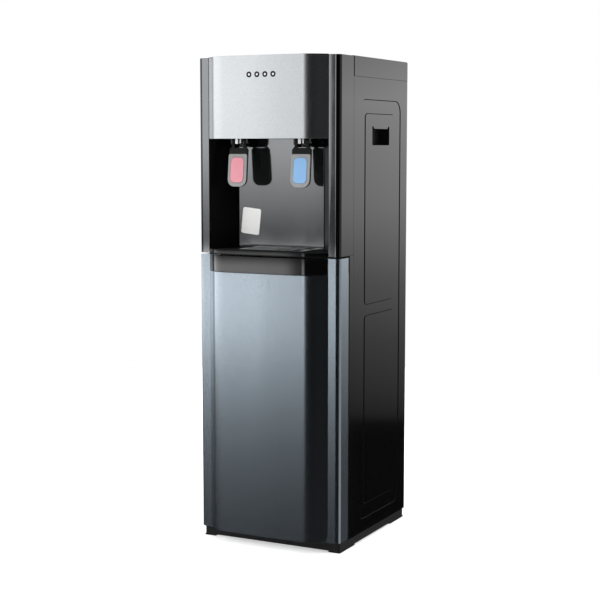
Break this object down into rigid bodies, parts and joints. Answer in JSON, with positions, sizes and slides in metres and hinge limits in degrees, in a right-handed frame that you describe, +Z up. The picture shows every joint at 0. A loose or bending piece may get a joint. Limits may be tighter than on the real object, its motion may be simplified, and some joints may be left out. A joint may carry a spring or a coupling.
{
  "type": "bottom load water cooler",
  "caption": "Slim floor-standing water cooler with a hinged door over the bottle compartment, a niche with hot and cold push levers, and a silver fascia.",
  "frame": {"origin": "on the floor under the centre of the overall footprint", "axes": "+X to the cooler's left-hand lever-to-right-hand lever direction seen from the front, +Y to the rear, +Z up"},
  "size_m": [0.317, 0.36, 0.98],
  "materials": {
    "gloss_black_abs": "glossy moulded",
    "black_moulding": "satin moulded",
    "silver_fascia": "satin metallic paint on a moulding",
    "blue_grey_door": "satin metallic paint on a moulding",
    "chrome_plate": "polished",
    "grey_plastic": "satin moulded",
    "hot_red": "glossy moulded",
    "cold_blue": "glossy moulded",
    "white_lens": "glossy moulded",
    "galvanised_sheet": "powder coat",
    "stainless": "drawn",
    "zinc_steel": "zinc plated",
    "aluminium_sink": "extruded",
    "white_foam": "moulded foam",
    "clear_silicone": "translucent",
    "rubber_foot": "moulded",
    "circuit_board": "lacquered",
    "ceramic_module": "ceramic",
    "magnet_ferrite": "sintered"
  },
  "bodies": {
    "cabinet": {"base_plinth": "black_moulding", "base_feet": "rubber_foot", "left_side_panel": "gloss_black_abs", "right_side_panel": "gloss_black_abs", "handle_cups": "black_moulding", "rear_lower_panel": "galvanised_sheet", "rear_upper_cover": "black_moulding", "top_cover": "gloss_black_abs", "upper_front_frame": "gloss_black_abs", "lower_front_frame": "gloss_black_abs", "niche_liner": "gloss_black_abs", "fascia_panel": "silver_fascia", "indicator_bezels": "black_moulding", "indicator_lenses": "white_lens", "control_board": "circuit_board", "tap_bodies": "black_moulding", "tap_spouts": "chrome_plate", "lever_pins": "zinc_steel", "strike_plates": "zinc_steel", "hinge_pins": "zinc_steel", "bottle_tray": "black_moulding", "mid_deck": "galvanised_sheet", "probe_cap": "grey_plastic", "probe_tube": "stainless", "probe_hose": "clear_silicone", "probe_clip": "black_moulding", "hot_tank_jacket": "white_foam", "hot_tank": "stainless", "cold_tank_insulation": "white_foam", "cold_tank": "stainless", "hot_outlet_tube": "clear_silicone", "cold_outlet_tube": "clear_silicone", "thermoelectric_module": "ceramic_module", "heat_sink": "aluminium_sink", "fan_frame": "black_moulding", "water_pump": "black_moulding", "hot_feed_tube": "clear_silicone", "cold_feed_tube": "clear_silicone", "power_supply": "zinc_steel", "drain_outlet": "black_moulding", "cable_gland": "black_moulding", "switch_frames": "black_moulding", "rear_screws": "zinc_steel"},
    "door": {"door_shell": "blue_grey_door", "door_panel": "blue_grey_door", "door_band": "gloss_black_abs", "door_liner": "black_moulding", "door_magnets": "magnet_ferrite"},
    "hot_lever": {"hot_lever": "black_moulding", "hot_lever_pad": "grey_plastic", "hot_lever_insert": "hot_red"},
    "cold_lever": {"cold_lever": "black_moulding", "cold_lever_pad": "grey_plastic", "cold_lever_insert": "cold_blue"},
    "fan": {"fan_rotor": "black_moulding"},
    "heating_rocker": {"heating_switch": "hot_red"},
    "cooling_rocker": {"cooling_switch": "black_moulding"},
    "drip_catcher": {"drip_tray": "black_moulding", "drip_grille": "gloss_black_abs"},
    "drain_plug": {"drain_cap": "grey_plastic"}
  },
  "joints": [
    {"name": "door_swing", "type": "hinge", "parent": "cabinet", "child": "door", "pos_m": [-0.151, -0.12, 0.3], "axis": [0, 0, -1], "range_deg": [0, 110]},
    {"name": "hot_lever_press", "type": "hinge", "parent": "cabinet", "child": "hot_lever", "pos_m": [-0.0705, -0.137, 0.811], "axis": [1, 0, 0], "range_deg": [0, 12], "stiffness_Nm_per_rad": 0.3, "springref_deg": -8.59},
    {"name": "cold_lever_press", "type": "hinge", "parent": "cabinet", "child": "cold_lever", "pos_m": [0.0705, -0.137, 0.811], "axis": [1, 0, 0], "range_deg": [0, 12], "stiffness_Nm_per_rad": 0.3, "springref_deg": -8.59},
    {"name": "fan_spin", "type": "hinge", "parent": "cabinet", "child": "fan", "pos_m": [0.0705, 0.159, 0.715], "axis": [0, 1, 0], "continuous": true},
    {"name": "heating_rocker_tip", "type": "hinge", "parent": "cabinet", "child": "heating_rocker", "pos_m": [-0.118, 0.175, 0.88], "axis": [1, 0, 0], "range_deg": [0, 10]},
    {"name": "cooling_rocker_tip", "type": "hinge", "parent": "cabinet", "child": "cooling_rocker", "pos_m": [-0.092, 0.175, 0.88], "axis": [1, 0, 0], "range_deg": [0, 10]},
    {"name": "drip_tray_lift", "type": "slide", "parent": "cabinet", "child": "drip_catcher", "axis": [0, 0, 1], "range_m": [0, 0.03]},
    {"name": "drain_cap_pull", "type": "slide", "parent": "cabinet", "child": "drain_plug", "axis": [0, 1, 0], "range_m": [0, 0.014]}
  ]
}
